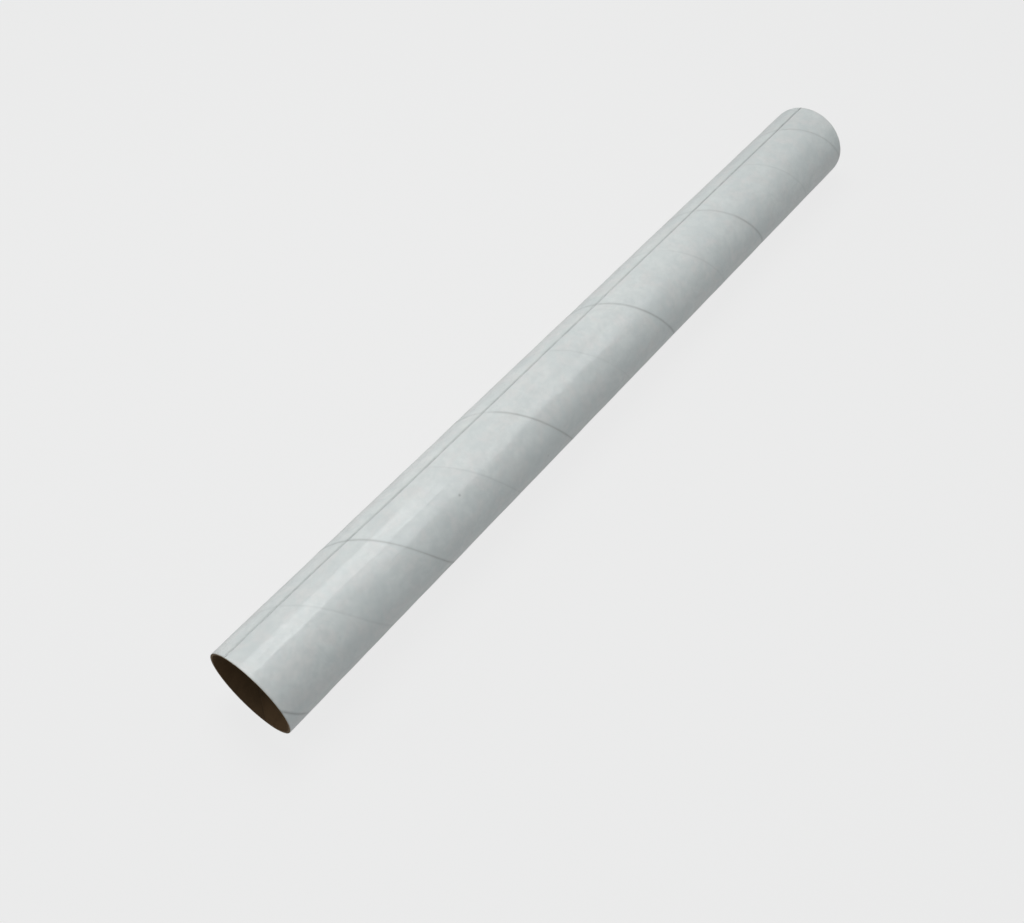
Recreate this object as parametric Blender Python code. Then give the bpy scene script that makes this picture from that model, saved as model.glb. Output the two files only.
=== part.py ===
"""Open drawing tube: spirally wound board plies, a white face ply and a clear film wrap.

Metres. +X runs along the tube, +Z is up, and the tube lies on z = 0 with its middle at x = 0.
"""
import math

import bmesh
import bpy

# Overall size: the flats of the faceted tube are OUTER_RADIUS from its axis.
LENGTH = 0.630
OUTER_RADIUS = 0.0315
FACETS = 28

# Wall, from the outside in. GLUE_LINE is the space left between two layers.
GLUE_LINE = 0.00004
FILM = 0.00008
FACE_PAPER = 0.00016
CORE_BOARD = 0.00034
LINER_PAPER = 0.00028

# Winding: every ply is a strip that climbs WIND_PITCH along the tube in one right-handed turn.
WIND_PITCH = 0.12355
SEAM_GAP = 0.00035
# Distance of each ply's seam from the -X end, measured along the +Y side of the tube.
FACE_SEAM = 0.07424
OUTER_CORE_SEAM = 0.01845
MIDDLE_CORE_SEAM = 0.05930
INNER_CORE_SEAM = 0.10060
LINER_SEAM = 0.03460

# Film wrap: angles about +X, from +Y towards +Z.
LAP_EDGE_DEG = 67.33
LAP_WIDTH_DEG = 22.0
LAP_RAMP_DEG = 4.0
INNER_EDGE_DEG = 48.0

STEP = 2.0 * math.pi / FACETS
HALF = LENGTH / 2.0


def clear_scene():
    for obj in list(bpy.data.objects):
        bpy.data.objects.remove(obj, do_unlink=True)
    for mesh in list(bpy.data.meshes):
        bpy.data.meshes.remove(mesh)


def material(name, colour, roughness, alpha=1.0):
    mat = bpy.data.materials.new(name)
    mat.use_nodes = True
    shader = mat.node_tree.nodes["Principled BSDF"]
    shader.inputs["Base Color"].default_value = (*colour, 1.0)
    shader.inputs["Roughness"].default_value = roughness
    shader.inputs["Metallic"].default_value = 0.0
    shader.inputs["Alpha"].default_value = alpha
    mat.diffuse_color = (*colour, alpha)
    return mat


def point(x, flat_radius, angle):
    """A point of the faceted tube whose flats are flat_radius from the axis."""
    facet_middle = round(angle / STEP) * STEP
    reach = flat_radius / math.cos(angle - facet_middle)
    return (x, reach * math.cos(angle), OUTER_RADIUS + reach * math.sin(angle))


def finish(bm, name, mat):
    bmesh.ops.remove_doubles(bm, verts=bm.verts, dist=1e-7)
    bmesh.ops.triangulate(bm, faces=bm.faces, quad_method="BEAUTY", ngon_method="EAR_CLIP")
    bmesh.ops.recalc_face_normals(bm, faces=bm.faces)
    for face in bm.faces:
        face.smooth = True
    mesh = bpy.data.meshes.new(name)
    bm.to_mesh(mesh)
    bm.free()
    mesh.set_sharp_from_angle(angle=math.radians(35.0))
    mesh.materials.append(mat)
    obj = bpy.data.objects.new(name, mesh)
    bpy.context.scene.collection.objects.link(obj)
    return obj


def trim(bm, x, side):
    """Cut the strip square at x, drop what lies beyond it and close the cut."""
    geom = list(bm.verts) + list(bm.edges) + list(bm.faces)
    cut = bmesh.ops.bisect_plane(
        bm, geom=geom, dist=1e-9, plane_co=(x, 0.0, 0.0), plane_no=(side, 0.0, 0.0),
        clear_outer=True,
    )
    rim = [e for e in cut["geom_cut"] if isinstance(e, bmesh.types.BMEdge) and e.is_boundary]
    bmesh.ops.edgeloop_fill(bm, edges=rim)


def wound_ply(name, inner, outer, seam, mat):
    """One strip wound round the tube, with its long edges facing each other across the seam."""
    first = math.floor(-(WIND_PITCH + seam) / WIND_PITCH * FACETS) - 2
    last = math.ceil((LENGTH - seam) / WIND_PITCH * FACETS) + 2
    start = (first + 0.5) * STEP
    left = -HALF + seam + WIND_PITCH * start / (2.0 * math.pi)
    right = left + WIND_PITCH - SEAM_GAP
    bm = bmesh.new()
    corners = [
        bm.verts.new(point(left, inner, start)),
        bm.verts.new(point(right, inner, start)),
        bm.verts.new(point(right, outer, start)),
        bm.verts.new(point(left, outer, start)),
    ]
    section = bm.faces.new(corners)
    bmesh.ops.spin(
        bm, geom=[section] + list(section.edges) + corners, cent=(0.0, 0.0, OUTER_RADIUS),
        axis=(1.0, 0.0, 0.0), dvec=(WIND_PITCH / FACETS, 0.0, 0.0),
        angle=(last - first) * STEP, steps=last - first, use_duplicate=False,
    )
    bmesh.ops.recalc_face_normals(bm, faces=bm.faces)
    seam_sides = [f for f in bm.faces if f.calc_area() < 2.0 * (outer - inner) * STEP * WIND_PITCH]
    bmesh.ops.triangulate(bm, faces=seam_sides, quad_method="FIXED")
    trim(bm, -HALF, -1.0)
    trim(bm, HALF, 1.0)
    return finish(bm, name, mat)


def film_wrap(name, mat):
    """Film laid straight round the tube, with its last edge lapped over its first."""
    lap_edge = math.radians(LAP_EDGE_DEG) + 2.0 * math.pi
    lap_start = lap_edge - math.radians(LAP_WIDTH_DEG)
    ramp_start = lap_start - math.radians(LAP_RAMP_DEG)
    first_edge = math.radians(INNER_EDGE_DEG)
    raised = FILM + GLUE_LINE

    stations = [(k + 0.5) * STEP for k in range(2 * FACETS)]
    angles = [first_edge, ramp_start, lap_start, lap_edge]
    angles += [a for a in stations if first_edge < a < lap_edge]
    angles = sorted(angles)

    def lift(angle):
        share = (angle - ramp_start) / (lap_start - ramp_start)
        return raised * min(1.0, max(0.0, share))

    bm = bmesh.new()
    inner = OUTER_RADIUS - FILM
    below = [bm.verts.new(point(-HALF, inner + lift(a), a)) for a in angles]
    above = [bm.verts.new(point(-HALF, OUTER_RADIUS + lift(a), a)) for a in angles]
    strip = []
    for i in range(len(angles) - 1):
        strip.append(bm.faces.new((below[i], below[i + 1], above[i + 1], above[i])))
    swept = bmesh.ops.extrude_face_region(bm, geom=strip)
    moved = [v for v in swept["geom"] if isinstance(v, bmesh.types.BMVert)]
    bmesh.ops.translate(bm, verts=moved, vec=(LENGTH, 0.0, 0.0))
    return finish(bm, name, mat)


def build():
    clear_scene()
    kraft = (0.30, 0.19, 0.11)
    board = (0.34, 0.24, 0.155)

    outside = OUTER_RADIUS - FILM - GLUE_LINE
    layers = [
        ("white_face_ply", FACE_PAPER, FACE_SEAM, material("white_face", (0.78, 0.80, 0.80), 0.45)),
        ("core_ply_outer", CORE_BOARD, OUTER_CORE_SEAM, material("core_board_outer", board, 0.9)),
        ("core_ply_middle", CORE_BOARD, MIDDLE_CORE_SEAM, material("core_board_middle", board, 0.9)),
        ("core_ply_inner", CORE_BOARD, INNER_CORE_SEAM, material("core_board_inner", board, 0.9)),
        ("kraft_liner_ply", LINER_PAPER, LINER_SEAM, material("kraft_liner", kraft, 0.85)),
    ]
    for name, thickness, seam, mat in layers:
        wound_ply(name, outside - thickness, outside, seam, mat)
        outside -= thickness + GLUE_LINE
    film_wrap("clear_film_wrap", material("clear_film", (0.95, 0.97, 0.98), 0.12, 0.25))


build()
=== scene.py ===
import math

import bmesh
import bpy
import numpy as np
from mathutils import Matrix, Vector


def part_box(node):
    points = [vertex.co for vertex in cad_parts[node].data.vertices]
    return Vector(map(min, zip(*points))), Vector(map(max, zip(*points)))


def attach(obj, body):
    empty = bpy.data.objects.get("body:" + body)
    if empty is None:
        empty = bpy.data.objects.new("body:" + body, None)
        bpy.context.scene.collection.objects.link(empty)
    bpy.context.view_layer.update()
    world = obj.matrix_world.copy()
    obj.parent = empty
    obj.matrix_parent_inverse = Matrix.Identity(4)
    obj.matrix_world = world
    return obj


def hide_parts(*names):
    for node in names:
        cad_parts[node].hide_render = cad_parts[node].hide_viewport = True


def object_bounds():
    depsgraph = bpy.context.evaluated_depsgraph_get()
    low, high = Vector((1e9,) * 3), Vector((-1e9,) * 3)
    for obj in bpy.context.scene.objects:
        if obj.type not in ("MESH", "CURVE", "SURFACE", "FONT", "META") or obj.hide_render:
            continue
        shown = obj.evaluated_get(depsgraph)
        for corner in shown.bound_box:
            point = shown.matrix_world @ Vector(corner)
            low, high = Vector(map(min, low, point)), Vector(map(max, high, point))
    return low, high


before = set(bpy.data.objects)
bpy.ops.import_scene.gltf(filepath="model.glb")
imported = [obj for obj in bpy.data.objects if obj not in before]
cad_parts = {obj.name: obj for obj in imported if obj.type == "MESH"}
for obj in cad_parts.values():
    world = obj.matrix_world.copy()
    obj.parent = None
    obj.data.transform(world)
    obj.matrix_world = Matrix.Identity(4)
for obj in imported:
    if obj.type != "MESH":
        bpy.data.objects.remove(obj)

# ---------------------------------------------------------------- sizes
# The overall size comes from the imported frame.
LOW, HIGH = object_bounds()
LENGTH = HIGH[0] - LOW[0]
RADIUS = (HIGH[2] - LOW[2]) / 2.0
HALF = LENGTH / 2.0
MM = 0.001

PITCH = 123.55 * MM          # the plies' advance along the tube in one turn
# Each ply's seam: its distance from the near end on the +Y side of the tube.
FACE_SEAM = 74.24 * MM
OUTER_CORE_SEAM = 18.45 * MM
MIDDLE_CORE_SEAM = 59.30 * MM
INNER_CORE_SEAM = 100.60 * MM
LINER_SEAM = 34.60 * MM

FACE_THICK = 0.16 * MM
CORE_THICK = 0.34 * MM
LINER_THICK = 0.28 * MM
FILM_THICK = 0.05 * MM

# The film's edges, as angles about +X from +Y towards +Z.
FILM_START = math.radians(48.0)
LAP_EDGE = math.radians(67.33)
LAP_WIDTH = math.radians(22.0)
LAP_RAMP = math.radians(3.0)     # the stretch in which the last turn climbs onto the first
LAP_RISE = 0.11 * MM
# The film was laid a little askew: past the near end its lapped edge drifts round the tube.
LAP_DRIFT = math.radians(3.6)
LAP_DRIFT_FROM = -HALF + 1.6 * RADIUS
LAP_DRIFT_TO = -HALF + 5.2 * RADIUS

# The face strip was started a little far out, so its seam sits nearer to the near mouth than an
# even spiral would put it.
SEAM_PULL = 3.1 * MM
SEAM_PULL_FROM = -HALF + 18.0 * MM
SEAM_PULL_TO = -HALF + 50.0 * MM

# The open joint between a strip's two edges.
FACE_GAP = 0.12 * MM
BOARD_GAP = 0.35 * MM
LINER_GAP = 0.12 * MM

# How far each cut end is frayed.
FACE_FRAY = 0.05 * MM
BOARD_FRAY = 0.16 * MM
LINER_FRAY = 0.10 * MM

# Mesh density: steps in one turn of a strip, columns across a strip, and the film's two counts.
STATIONS = 160
FACE_COLUMNS = 72
BOARD_COLUMNS = 20
LINER_COLUMNS = 24
BACK_COLUMNS = 5
FILM_ANGLES = 220
FILM_STATIONS = 208
RIM_LOOPS = (0.25 * MM, 0.6 * MM, 1.2 * MM, 2.2 * MM)    # loops at each mouth, for the pressed rim
SHARP_ANGLE = math.radians(35.0)


# ---------------------------------------------------------------- surface relief
# Each group of waves: how many, most turns round the tube, shortest wave along it, depth of each.
WALL_SWELL = ((12, 10, 20.0 * MM, 0.0085 * MM), (6, 5, 90.0 * MM, 0.0102 * MM))
PAPER_SWELL = ((26, 24, 24.0 * MM, 0.0080 * MM), (14, 9, 34.0 * MM, 0.0110 * MM))
WALL_SEED = 41
PAPER_SEED = 17
WALL_SINK = 0.05 * MM
PAPER_SINK = 0.05 * MM
PAPER_LIMIT = 0.10 * MM
RIM_PRESS = 0.10 * MM            # how far the cut rim is pressed in, and how soon that fades
RIM_REACH = 0.7 * MM
SEAM_DIP = (0.9 * MM, 0.035 * MM)    # width and depth of the dip along a ply's own seam
FOLD_DIP = (1.5 * MM, 0.045 * MM)    # the same along the seam of the ply below


def wrap(values, period):
    """The values shifted by whole periods to lie around zero."""
    return (values + period / 2.0) % period - period / 2.0


def smooth_step(share):
    share = np.clip(share, 0.0, 1.0)
    return share * share * (3.0 - 2.0 * share)


def waves(x, phi, groups, seed):
    """A sum of random sine waves that close on themselves round the tube."""
    rng = np.random.default_rng(seed)
    total = np.zeros_like(x)
    for count, turns, shortest, depth in groups:
        for _ in range(count):
            around = rng.integers(-turns, turns + 1)
            along = rng.uniform(0.15, 1.0) / shortest
            phase = rng.uniform(0.0, 2.0 * math.pi)
            total += depth * np.sin(around * phi + 2.0 * math.pi * along * x + phase)
    return total


def wall_swell(x, phi):
    """Radial waviness of the whole wall, never outwards of the nominal radius."""
    return np.minimum(waves(x, phi, WALL_SWELL, WALL_SEED) - WALL_SINK, 0.0)


def paper_swell(x, phi):
    """Finer waviness that only the outside of the white paper and the film have."""
    return np.clip(waves(x, phi, PAPER_SWELL, PAPER_SEED) - PAPER_SINK, -PAPER_LIMIT, 0.0)


def mouth_curl(x):
    """The cut edge of the wall is pressed in a little at both mouths."""
    from_end = HALF - np.abs(x)
    return -RIM_PRESS * np.exp(-np.maximum(from_end, 0.0) / RIM_REACH)


def across_strip(x, phi, seam):
    """How far a point lies from its ply's seam, measured along the tube."""
    return (x + HALF - seam - PITCH * phi / (2.0 * math.pi)) % PITCH


def groove(distance, width, depth):
    """A soft dip that is deepest at distance zero."""
    return -depth * np.exp(-((distance / width) ** 2))


def seam_relief(x, phi, own_seam, below_seam):
    """The dips along a ply's own seam and over the seam of the ply below."""
    own = wrap(across_strip(x, phi, own_seam), PITCH)
    below = wrap(across_strip(x, phi, below_seam), PITCH)
    return groove(own, *SEAM_DIP) + groove(below, *FOLD_DIP)


def seam_pull(x):
    """How far the face strip is shifted along the tube at x."""
    return -SEAM_PULL * smooth_step((SEAM_PULL_TO - x) / (SEAM_PULL_TO - SEAM_PULL_FROM))


def before_pull(x):
    """The place on an even spiral that seam_pull shifts to x, found by repeated correction."""
    even = x
    for _ in range(4):
        even = x - seam_pull(even)
    return even


# ---------------------------------------------------------------- mesh helpers
def polar(co):
    """Place along the tube, angle and radius of each point."""
    y = co[:, 1]
    z = co[:, 2] - RADIUS
    return co[:, 0], np.arctan2(z, y), np.hypot(y, z)


def placed(x, phi, r):
    """The points at these places along the tube, angles and radii."""
    return np.stack([x, r * np.cos(phi), RADIUS + r * np.sin(phi)], axis=1)


def coordinates(mesh):
    co = np.zeros(len(mesh.vertices) * 3)
    mesh.vertices.foreach_get("co", co)
    return co.reshape(-1, 3)


def cut_at(bm, x, normal, clear):
    geom = list(bm.verts) + list(bm.edges) + list(bm.faces)
    return bmesh.ops.bisect_plane(
        bm, geom=geom, dist=1e-8, plane_co=(x, 0.0, 0.0), plane_no=(normal, 0.0, 0.0),
        clear_outer=clear,
    )


def trim_ends(bm):
    """Cuts a strip square at both mouths, closes it and adds loops for the pressed rim."""
    for side in (-1.0, 1.0):
        cut = cut_at(bm, side * HALF, side, True)
        rim = [e for e in cut["geom_cut"] if isinstance(e, bmesh.types.BMEdge) and e.is_boundary]
        if rim:
            bmesh.ops.edgeloop_fill(bm, edges=rim)
    for inset in RIM_LOOPS:
        for side in (-1.0, 1.0):
            cut_at(bm, side * (HALF - inset), side, False)


def finish_piece(name, mesh, material):
    mesh.polygons.foreach_set("use_smooth", [True] * len(mesh.polygons))
    mesh.set_sharp_from_angle(angle=SHARP_ANGLE)
    mesh.materials.append(material)
    obj = bpy.data.objects.new(name, mesh)
    bpy.context.scene.collection.objects.link(obj)
    return obj


def wound_strip(name, outer, thick, seam, below_seam, gap, fine, material, ragged, papery=False):
    """A ply: one strip wound round the tube with its edges meeting at a spiral seam.

    The papery strip is the white face: it alone has the fine waviness and the pulled seam.
    """
    width = PITCH - gap
    first = math.floor(-(PITCH + seam) / PITCH * STATIONS) - 2
    last = math.ceil((LENGTH - seam) / PITCH * STATIONS) + 2
    phi = np.arange(first, last + 1) * 2.0 * math.pi / STATIONS
    start = -HALF + seam + PITCH * phi / (2.0 * math.pi)

    # Columns across the strip: close together at its edges and over the seam of the ply below.
    at_edge = [0.0, 0.35 * MM, 0.9 * MM, 1.8 * MM, 3.5 * MM]
    fold = (below_seam - seam) % PITCH
    near_fold = [fold + d * MM for d in (-3.2, -1.8, -1.0, -0.4, 0.0, 0.4, 1.0, 1.8, 3.2)]
    spread = list(np.linspace(0.0, width, fine + 1)[1:-1])
    columns = at_edge + [width - place for place in at_edge] + near_fold
    columns += [s for s in spread if min(abs(s - c) for c in columns) > 1.2 * MM]
    columns = np.array(sorted(c for c in columns if 0.0 <= c <= width))
    back = np.linspace(0.0, width, BACK_COLUMNS)

    def sheet(places, r):
        grid_x = start[:, None] + places[None, :]
        if papery:
            grid_x = grid_x + seam_pull(grid_x)
        grid_phi = np.repeat(phi[:, None], len(places), axis=1)
        co = placed(grid_x.ravel(), grid_phi.ravel(), np.full(grid_x.size, r))
        along = (grid_phi * r).ravel()
        across = np.repeat(places[None, :], len(phi), axis=0).ravel()
        return co, across, along

    top, top_across, top_along = sheet(columns, outer)
    low, low_across, low_along = sheet(back, outer - thick)
    rows, wide, narrow = len(phi), len(columns), len(back)
    faces = []
    for j in range(rows - 1):
        a, b = j * wide, (j + 1) * wide
        faces += [(a + k, a + k + 1, b + k + 1, b + k) for k in range(wide - 1)]
        c, d = len(top) + j * narrow, len(top) + (j + 1) * narrow
        faces += [(c + k, d + k, d + k + 1, c + k + 1) for k in range(narrow - 1)]
        faces.append((a, b, d, c))
        faces.append((a + wide - 1, c + narrow - 1, d + narrow - 1, b + wide - 1))

    mesh = bpy.data.meshes.new(name)
    mesh.from_pydata(np.vstack([top, low]).tolist(), [], faces)
    for label, values in (
        ("across", np.concatenate([top_across, low_across])),
        ("along", np.concatenate([top_along, low_along])),
    ):
        mesh.attributes.new(label, "FLOAT", "POINT").data.foreach_set("value", values)
    bm = bmesh.new()
    bm.from_mesh(mesh)
    trim_ends(bm)
    bmesh.ops.recalc_face_normals(bm, faces=bm.faces)
    bm.to_mesh(mesh)
    bm.free()

    co = coordinates(mesh)
    x, angle, r = polar(co)
    even_x = before_pull(x) if papery else x
    own = across_strip(even_x, angle, seam)
    outside = r > outer - thick / 2.0
    r = r + wall_swell(x, angle) + mouth_curl(x)
    dent = seam_relief(even_x, angle, seam - gap / 2.0, below_seam)
    if papery:
        dent = dent + paper_swell(x, angle)
    r = r + np.where(outside, dent, 0.0)
    # The cut ends are frayed inwards by an uneven share of the ragged length.
    at_end = HALF - np.abs(x) < 1e-7
    wide_fray = np.sin(angle * 23.0 + own * 900.0)
    fine_fray = np.sin(angle * 61.0 + 1.7 * seam / MM)
    rough = 0.5 + 0.25 * (wide_fray + fine_fray)
    x = np.where(at_end, x - np.sign(x) * ragged * rough, x)
    mesh.vertices.foreach_set("co", placed(x, angle, r).ravel())
    mesh.update()
    return finish_piece(name, mesh, material)


def film_sheet(name, outer, material):
    """The clear film: one sheet laid round the tube, its last edge lapped over its first."""
    end = LAP_EDGE + 2.0 * math.pi
    lap_start = end - LAP_WIDTH
    ramp_start = lap_start - LAP_RAMP
    angles = set(np.linspace(FILM_START, end, FILM_ANGLES).tolist())
    angles |= {ramp_start, lap_start}
    angles |= {end - d * MM / outer for d in (0.15, 0.35, 0.6, 1.0, 1.6)}
    angles = np.array(sorted(angles))
    lift = LAP_RISE * np.clip((angles - ramp_start) / (lap_start - ramp_start), 0.0, 1.0)
    insets = np.array((0.0,) + RIM_LOOPS)
    xs = np.concatenate([
        -HALF + insets[:-1],
        np.linspace(-HALF + insets[-1], HALF - insets[-1], FILM_STATIONS),
        HALF - insets[-2::-1],
    ])
    n, m = len(xs), len(angles)
    grid_x = np.repeat(xs, m)
    grid_phi = np.tile(angles, n)
    grid_lift = np.tile(lift, n)
    far_share = smooth_step((grid_x - LAP_DRIFT_FROM) / (LAP_DRIFT_TO - LAP_DRIFT_FROM))
    last_share = np.clip((grid_phi - math.pi) / (end - math.pi), 0.0, 1.0)
    grid_phi = grid_phi + LAP_DRIFT * far_share * last_share
    move = wall_swell(grid_x, grid_phi) + paper_swell(grid_x, grid_phi)
    move = move + mouth_curl(grid_x) + grid_lift
    top = placed(grid_x, grid_phi, outer + move)
    low = placed(grid_x, grid_phi, outer - FILM_THICK + move)
    from_edge = np.tile((end - angles) * outer, n)
    faces = []
    off = n * m
    for i in range(n - 1):
        a, b = i * m, (i + 1) * m
        faces += [(a + k, b + k, b + k + 1, a + k + 1) for k in range(m - 1)]
        faces += [(off + a + k, off + a + k + 1, off + b + k + 1, off + b + k) for k in range(m - 1)]
        faces.append((a, off + a, off + b, b))
        faces.append((a + m - 1, b + m - 1, off + b + m - 1, off + a + m - 1))
    last = (n - 1) * m
    for k in range(m - 1):
        faces.append((k, k + 1, off + k + 1, off + k))
        faces.append((last + k, off + last + k, off + last + k + 1, last + k + 1))
    mesh = bpy.data.meshes.new(name)
    mesh.from_pydata(np.vstack([top, low]).tolist(), [], faces)
    from_edge = np.concatenate([from_edge, from_edge])
    mesh.attributes.new("edge", "FLOAT", "POINT").data.foreach_set("value", from_edge)
    bm = bmesh.new()
    bm.from_mesh(mesh)
    bmesh.ops.recalc_face_normals(bm, faces=bm.faces)
    bm.to_mesh(mesh)
    bm.free()
    return finish_piece(name, mesh, material)


# ---------------------------------------------------------------- material helpers
class Nodes:
    """A new material and short ways to add nodes to it. Most return the socket to use next."""

    def __init__(self, name):
        self.mat = bpy.data.materials.new(name)
        self.mat.use_nodes = True
        self.tree = self.mat.node_tree
        self.shader = self.tree.nodes["Principled BSDF"]

    def new(self, kind, **inputs):
        node = self.tree.nodes.new(kind)
        for key, value in inputs.items():
            self.put(value, node.inputs[key.replace("_", " ")])
        return node

    def put(self, value, socket):
        if isinstance(value, bpy.types.NodeSocket):
            self.tree.links.new(value, socket)
        else:
            socket.default_value = value

    def math(self, kind, *values):
        node = self.tree.nodes.new("ShaderNodeMath")
        node.operation = kind
        for i, value in enumerate(values):
            self.put(value, node.inputs[i])
        return node.outputs[0]

    def ramp(self, value, low, high, start=0.0, end=1.0):
        """Runs smoothly from start to end as the value goes from low to high."""
        node = self.tree.nodes.new("ShaderNodeMapRange")
        node.interpolation_type = "SMOOTHSTEP"
        self.put(value, node.inputs["Value"])
        for key, number in (("From Min", low), ("From Max", high), ("To Min", start), ("To Max", end)):
            node.inputs[key].default_value = number
        return node.outputs["Result"]

    def mix(self, factor, a, b):
        node = self.tree.nodes.new("ShaderNodeMix")
        node.data_type = "RGBA"
        first_colour, second_colour, colour = node.inputs[6], node.inputs[7], node.outputs[2]
        self.put(factor, node.inputs["Factor"])
        self.put(a, first_colour)
        self.put(b, second_colour)
        return colour

    def attribute(self, label):
        node = self.tree.nodes.new("ShaderNodeAttribute")
        node.attribute_name = label
        return node.outputs["Fac"]

    def place(self):
        """The point's place on its piece, in metres."""
        return self.tree.nodes.new("ShaderNodeTexCoord").outputs["Object"]

    def noise(self, where, scale, detail=3.0, rough=0.5, distortion=0.0):
        node = self.new("ShaderNodeTexNoise", Vector=where, Scale=scale, Detail=detail,
                        Roughness=rough, Distortion=distortion)
        return node.outputs["Fac"]

    def vector(self, x, y, z=0.0):
        return self.new("ShaderNodeCombineXYZ", X=x, Y=y, Z=z).outputs[0]

    def bump(self, height, strength, distance, normal=None):
        node = self.new("ShaderNodeBump", Height=height, Strength=strength, Distance=distance)
        if normal is not None:
            self.tree.links.new(normal, node.inputs["Normal"])
        return node.outputs[0]

    def set(self, **values):
        for key, value in values.items():
            self.put(value, self.shader.inputs[key.replace("_", " ")])


def rgba(r, g, b):
    return (r, g, b, 1.0)


def scaled(colour, share):
    return tuple(c * share for c in colour[:3]) + (1.0,)


PAPER_DULL = rgba(0.697, 0.724, 0.723)
PAPER_BRIGHT = rgba(0.769, 0.787, 0.779)
PAPER_WARM = rgba(0.768, 0.752, 0.744)
PAPER_FLECK = rgba(0.62, 0.65, 0.65)
FIBRE_DARK = rgba(0.42, 0.44, 0.44)
FIBRE_PALE = rgba(0.82, 0.85, 0.85)
# Painted shade: the colour of the shadow lines along the seams of the white face.
SEAM_SHADE_PAINT = rgba(0.29, 0.30, 0.30)
END_SOIL = rgba(0.33, 0.31, 0.28)
SPECK_COLOUR = rgba(0.2, 0.2, 0.2)
BOARD_PALE = rgba(0.205, 0.142, 0.088)
BOARD_DARK = rgba(0.150, 0.100, 0.060)
KRAFT_PALE = rgba(0.132, 0.078, 0.037)
KRAFT_DARK = rgba(0.088, 0.051, 0.023)
FILM_CLEAR = rgba(0.80, 0.85, 0.86)
# Painted shade: the colour of the dark line that stands in for the shadow of the film's lapped edge.
FILM_EDGE_SHADE = rgba(0.14, 0.15, 0.145)

# Dark specks on the white face: place from the near end, angle about the tube, size.
SPECKS = (
    (2.61 * 2.0 * RADIUS, math.radians(123.5), 1.1 * MM),
    (3.75 * 2.0 * RADIUS, math.radians(174.0), 0.9 * MM),
)
SPECK_DARK = 0.55
SPECK_RAGGED = 0.5 * MM


def white_face_material():
    """White paper: clouded and flecked, with painted shade along its seam and over the seam below."""
    n = Nodes("white_face_paper")
    where = n.place()
    across, along = n.attribute("across"), n.attribute("along")

    # Clouding, warmer patches, fine flecks and fibres.
    clouds = n.noise(where, 40.0, 4.0, 0.6)
    tone = n.mix(n.ramp(clouds, 0.35, 0.65), PAPER_DULL, PAPER_BRIGHT)
    warmth = n.noise(where, 75.0, 4.0, 0.6, 0.5)
    tone = n.mix(n.ramp(warmth, 0.42, 0.64, 0.0, 0.75), tone, PAPER_WARM)
    flecks = n.noise(where, 210.0, 4.0, 0.65, 0.3)
    tone = n.mix(n.ramp(flecks, 0.32, 0.68, 0.0, 0.50), tone, PAPER_FLECK)
    fibre_place = n.vector(n.math("MULTIPLY", across, 2600.0), n.math("MULTIPLY", along, 900.0))
    fibres = n.noise(fibre_place, 1.0, 3.0, 0.6)
    tone = n.mix(0.06, tone, n.mix(fibres, FIBRE_DARK, FIBRE_PALE))

    # Painted shade along the strip's own seam, and a fainter painted shade where the seam below shows
    # through; both stand in for the shadow lines the seams cast.
    own = n.math("MINIMUM", across, n.math("SUBTRACT", PITCH - FACE_GAP, across))
    seam_shade_patches = n.ramp(n.noise(where, 18.0, 3.0), 0.35, 0.65, 0.18, 0.40)
    painted_seam_shade = n.math("MULTIPLY", n.ramp(own, 0.0, 1.9 * MM, 1.0, 0.0), seam_shade_patches)
    fold = n.math("ABSOLUTE", n.math("SUBTRACT", across, (OUTER_CORE_SEAM - FACE_SEAM) % PITCH))
    patchy = n.ramp(n.noise(where, 14.0, 2.0), 0.35, 0.6, 0.09, 0.16)
    fold_shade = n.math("MULTIPLY", n.ramp(fold, 0.0, 1.3 * MM, 1.0, 0.0), patchy)
    tone = n.mix(n.math("MAXIMUM", painted_seam_shade, fold_shade), tone, SEAM_SHADE_PAINT)

    # Soil darkens the cut ends.
    x = n.new("ShaderNodeSeparateXYZ", Vector=where).outputs[0]
    from_end = n.math("SUBTRACT", HALF, n.math("ABSOLUTE", x))
    tone = n.mix(n.ramp(from_end, 0.0, 1.0 * MM, 0.35, 0.0), tone, END_SOIL)

    for from_near, angle, size in SPECKS:
        away = n.tree.nodes.new("ShaderNodeVectorMath")
        away.operation = "DISTANCE"
        n.put(where, away.inputs[0])
        away.inputs[1].default_value = Vector((
            -HALF + from_near, RADIUS * math.cos(angle), RADIUS + RADIUS * math.sin(angle)))
        jitter = n.math("MULTIPLY", n.noise(where, 700.0), SPECK_RAGGED)
        ragged = n.math("ADD", away.outputs["Value"], jitter)
        dark = n.ramp(ragged, 0.3 * MM, size + SPECK_RAGGED, SPECK_DARK, 0.0)
        tone = n.mix(dark, tone, SPECK_COLOUR)

    grain = n.bump(n.noise(where, 900.0, 4.0, 0.6), 0.12, 0.02 * MM)
    wrinkle = n.bump(n.noise(where, 50.0, 3.0, 0.5, 0.4), 0.9, 1.3 * MM, grain)
    n.set(Base_Color=tone, Roughness=n.ramp(clouds, 0.3, 0.7, 0.42, 0.55), Normal=wrinkle,
          Coat_Weight=n.ramp(n.noise(where, 30.0, 3.0), 0.3, 0.7, 0.32, 0.50),
          Coat_Roughness=0.10, Coat_IOR=1.5, Specular_IOR_Level=0.35)
    return n.mat


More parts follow.
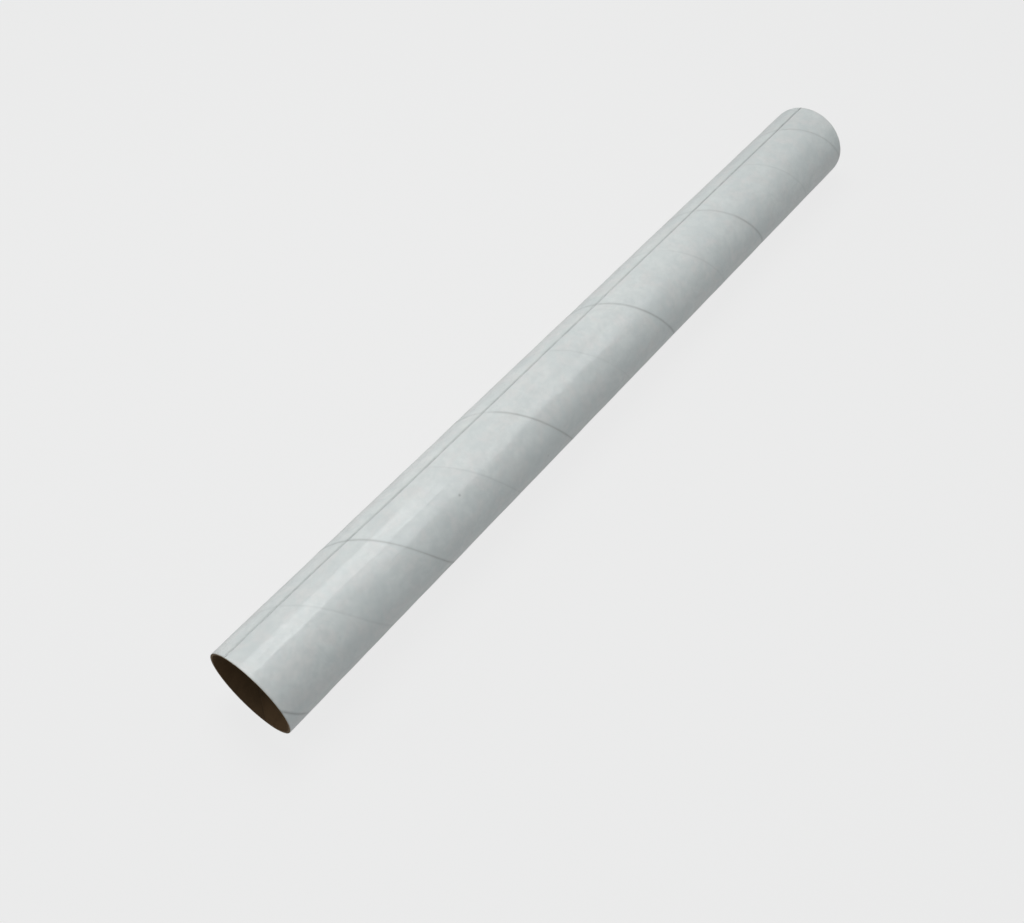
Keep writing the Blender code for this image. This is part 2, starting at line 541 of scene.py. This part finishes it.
def board_material(name, light, dark, seed):
    """Brown board or kraft: blotched, with fibres along the strip and dark dust."""
    n = Nodes(name)
    where = n.place()
    across, along = n.attribute("across"), n.attribute("along")
    blotch = n.noise(n.vector(n.math("ADD", across, seed), along, seed), 55.0, 4.0, 0.6)
    fibre_place = n.vector(n.math("MULTIPLY", across, 3200.0), n.math("MULTIPLY", along, 700.0), seed)
    fibre = n.noise(fibre_place, 1.0, 4.0, 0.65)
    dust = n.noise(where, 1500.0, 2.0, 0.6)
    tone = n.mix(n.ramp(blotch, 0.3, 0.7), light, dark)
    tone = n.mix(n.ramp(fibre, 0.35, 0.75, 0.0, 0.35), tone, scaled(light, 1.35))
    tone = n.mix(n.ramp(dust, 0.62, 0.75, 0.0, 0.5), tone, scaled(dark, 0.45))
    fuzz = n.bump(fibre, 0.45, 0.05 * MM)
    n.set(Base_Color=tone, Roughness=n.ramp(fibre, 0.2, 0.8, 0.82, 0.95), Normal=fuzz,
          Specular_IOR_Level=0.25)
    return n.mat


def film_material():
    """Nearly clear film with a faint haze, and a broken dark line of painted shade along its lapped
    edge that stands in for the edge's shadow.
    """
    n = Nodes("clear_wrap_film")
    edge = n.attribute("edge")
    where = n.place()
    haze = n.ramp(n.noise(where, 24.0, 3.0, 0.6), 0.3, 0.7, 0.012, 0.030)
    broken = n.ramp(n.noise(where, 160.0, 3.0, 0.6), 0.25, 0.6, 0.62, 1.0)
    # Painted shade: a broken dark band along the lapped edge stands in for the edge's shadow, and it
    # grows deeper towards the far end.
    soft_edge_shade = n.ramp(edge, 1.0 * MM, 2.7 * MM, 0.135, 0.0)
    crisp_edge_shade = n.ramp(edge, 0.2 * MM, 0.5 * MM, 0.12, 0.0)
    edge_shade_band = n.math("ADD", soft_edge_shade, crisp_edge_shade)
    x = n.new("ShaderNodeSeparateXYZ", Vector=where).outputs[0]
    line = n.math("MULTIPLY", n.math("MULTIPLY", edge_shade_band, broken), n.ramp(x, 0.05, HALF, 1.0, 1.3))
    alpha = n.math("MAXIMUM", haze, line)
    tone = n.mix(n.ramp(edge, 2.4 * MM, 3.2 * MM), FILM_EDGE_SHADE, FILM_CLEAR)
    n.set(Base_Color=tone, Roughness=n.ramp(n.noise(where, 90.0), 0.3, 0.7, 0.08, 0.16), Alpha=alpha)
    return n.mat


# ---------------------------------------------------------------- the pieces
def outer_radius(node):
    low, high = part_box(node)
    return (high[2] - low[2]) / 2.0


def add_piece(obj, node):
    """Lets the piece ride the one body and stand for its CAD node, which is hidden."""
    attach(obj, "root")
    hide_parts(node)
    return obj


add_piece(
    wound_strip("white_face_paper", outer_radius("white_face_ply"), FACE_THICK, FACE_SEAM,
                OUTER_CORE_SEAM, FACE_GAP, FACE_COLUMNS, white_face_material(), FACE_FRAY, True),
    "white_face_ply")
cores = (
    ("core_ply_outer", "core_board_outer", OUTER_CORE_SEAM, MIDDLE_CORE_SEAM, 3.1),
    ("core_ply_middle", "core_board_middle", MIDDLE_CORE_SEAM, INNER_CORE_SEAM, 7.7),
    ("core_ply_inner", "core_board_inner", INNER_CORE_SEAM, LINER_SEAM, 5.2),
)
for node, slot, seam, below, seed in cores:
    board = board_material(slot.replace("core_", ""), BOARD_PALE, BOARD_DARK, seed)
    strip = wound_strip(node.replace("ply", "board"), outer_radius(node), CORE_THICK, seam, below,
                        BOARD_GAP, BOARD_COLUMNS, board, BOARD_FRAY)
    add_piece(strip, node)
add_piece(
    wound_strip("kraft_liner", outer_radius("kraft_liner_ply"), LINER_THICK, LINER_SEAM,
                INNER_CORE_SEAM, LINER_GAP, LINER_COLUMNS,
                board_material("kraft_liner_paper", KRAFT_PALE, KRAFT_DARK, 1.3), LINER_FRAY),
    "kraft_liner_ply")
film = add_piece(film_sheet("clear_wrap", outer_radius("clear_film_wrap"), film_material()),
                 "clear_film_wrap")
# Clear film neither shades the paper under it nor gives it light.
film.visible_shadow = False
film.visible_diffuse = False


# ---------------------------------------------------------------- studio
FLOOR_SIZE = 14.0
FLOOR_TOP = -0.2 * MM
FLOOR_GLOW = 0.40            # light the floor gives off towards the tube
FLOOR_SHOWN = 0.385          # what is added to that towards the camera
BACKDROP_SHOWN = 0.84        # the backdrop's brightness towards the camera
BACKDROP_FILL = 0.385        # and towards the tube


def make_floor():
    bpy.ops.mesh.primitive_plane_add(size=FLOOR_SIZE, location=(0.0, 0.0, FLOOR_TOP))
    floor = bpy.context.object
    floor.name = "studio_floor"
    n = Nodes("pale_floor")
    path = n.tree.nodes.new("ShaderNodeLightPath")
    glow = n.math("MULTIPLY_ADD", path.outputs["Is Camera Ray"], FLOOR_SHOWN, FLOOR_GLOW)
    n.set(Base_Color=rgba(0.06, 0.06, 0.06), Roughness=1.0, Specular_IOR_Level=0.0,
          Emission_Color=rgba(1.0, 1.0, 1.0), Emission_Strength=glow)
    floor.data.materials.append(n.mat)


def make_world():
    world = bpy.data.worlds.new("studio")
    bpy.context.scene.world = world
    world.use_nodes = True
    tree = world.node_tree
    shown = tree.nodes["Background"]
    shown.inputs["Color"].default_value = rgba(1.0, 1.0, 1.0)
    shown.inputs["Strength"].default_value = BACKDROP_SHOWN
    fill = tree.nodes.new("ShaderNodeBackground")
    fill.inputs["Color"].default_value = rgba(0.92, 1.0, 1.005)
    fill.inputs["Strength"].default_value = BACKDROP_FILL
    path = tree.nodes.new("ShaderNodeLightPath")
    mix = tree.nodes.new("ShaderNodeMixShader")
    tree.links.new(path.outputs["Is Camera Ray"], mix.inputs[0])
    tree.links.new(fill.outputs[0], mix.inputs[1])
    tree.links.new(shown.outputs[0], mix.inputs[2])
    tree.links.new(mix.outputs[0], tree.nodes["World Output"].inputs["Surface"])


def softbox(name, target, direction, distance, size_x, size_y, radiance, colour, kind):
    """A rectangle of even light that faces the target; size_x lies along the tube.

    A "gloss" light is seen only in reflections. A "matt" light only lights matt colour.
    """
    light = bpy.data.lights.new(name, "AREA")
    light.shape = "RECTANGLE"
    light.size = size_x
    light.size_y = size_y
    light.color = colour
    light.energy = radiance * math.pi * size_x * size_y
    obj = bpy.data.objects.new(name, light)
    bpy.context.scene.collection.objects.link(obj)
    toward = Vector(direction).normalized()
    side = Vector((1.0, 0.0, 0.0))
    side = (side - toward * side.dot(toward)).normalized()
    up = toward.cross(side)
    turn = Matrix((side, up, toward)).transposed()
    obj.matrix_world = Matrix.Translation(Vector(target) + toward * distance) @ turn.to_4x4()
    obj.visible_camera = False
    obj.visible_glossy = kind == "gloss"
    obj.visible_diffuse = kind == "matt"


# The camera that was fitted to the photo. It stands off from the middle of the near mouth, in radii.
CAMERA_SENSOR = 36.0
CAMERA_LENS = 39.594
CAMERA_NEAR_CLIP = 0.01
CAMERA_STAND_OFF = (-4.0440, -9.1409, 18.5147)
CAMERA_RIGHT = (0.61917981, -0.78524924, 0.0)
CAMERA_FORWARD = (0.47446914, 0.37412543, -0.79681189)


def make_camera():
    camera = bpy.data.cameras.new("camera")
    camera.sensor_width = CAMERA_SENSOR
    camera.lens = CAMERA_LENS
    camera.clip_start = CAMERA_NEAR_CLIP
    obj = bpy.data.objects.new("camera", camera)
    bpy.context.scene.collection.objects.link(obj)
    place = Vector((-HALF, 0.0, RADIUS)) + Vector(CAMERA_STAND_OFF) * RADIUS
    right = Vector(CAMERA_RIGHT).normalized()
    forward = Vector(CAMERA_FORWARD).normalized()
    up = right.cross(forward)
    obj.matrix_world = Matrix.Translation(place) @ Matrix((right, up, -forward)).transposed().to_4x4()
    bpy.context.scene.camera = obj


make_floor()
make_world()
# The two places the lights face: near the open end, and just past the middle.
NEAR = (-HALF + 2.5 * RADIUS, 0.0, RADIUS)
MIDDLE = (0.6 * RADIUS, 0.0, RADIUS)
WARM = (1.0, 0.985, 0.972)
PALE_WARM = (1.0, 0.99, 0.98)
WHITE = (1.0, 1.0, 1.0)
# Each light: name, target, direction from it, distance, length, width, radiance, colour, kind.
softbox("key_gloss", NEAR, (0.02, 0.242, 0.97), 1.7, 1.65, 1.0, 2.95, WARM, "gloss")
softbox("key_softbox", MIDDLE, (0.0, 0.242, 0.97), 0.95, 0.40, 0.56, 5.95, WARM, "matt")
softbox("side_softbox", NEAR, (-0.50, 0.75, 0.45), 1.3, 0.6, 0.6, 2.6, PALE_WARM, "matt")
softbox("front_fill", NEAR, (-0.85, -0.28, 0.45), 1.6, 1.0, 1.0, 0.10, WHITE, "matt")
softbox("streak_left", NEAR, (0.02, 0.407, 0.914), 1.65, 1.30, 0.14, 1.6, WHITE, "gloss")
softbox("streak_right", NEAR, (0.06, -0.010, 1.0), 1.65, 1.65, 0.20, 2.8, WHITE, "gloss")
softbox("ceiling_glow", NEAR, (0.52, -0.32, 0.80), 2.0, 0.95, 0.85, 2.8, WHITE, "gloss")
make_camera()
scene = bpy.context.scene
scene.view_settings.view_transform = "Standard"
scene.view_settings.look = "None"
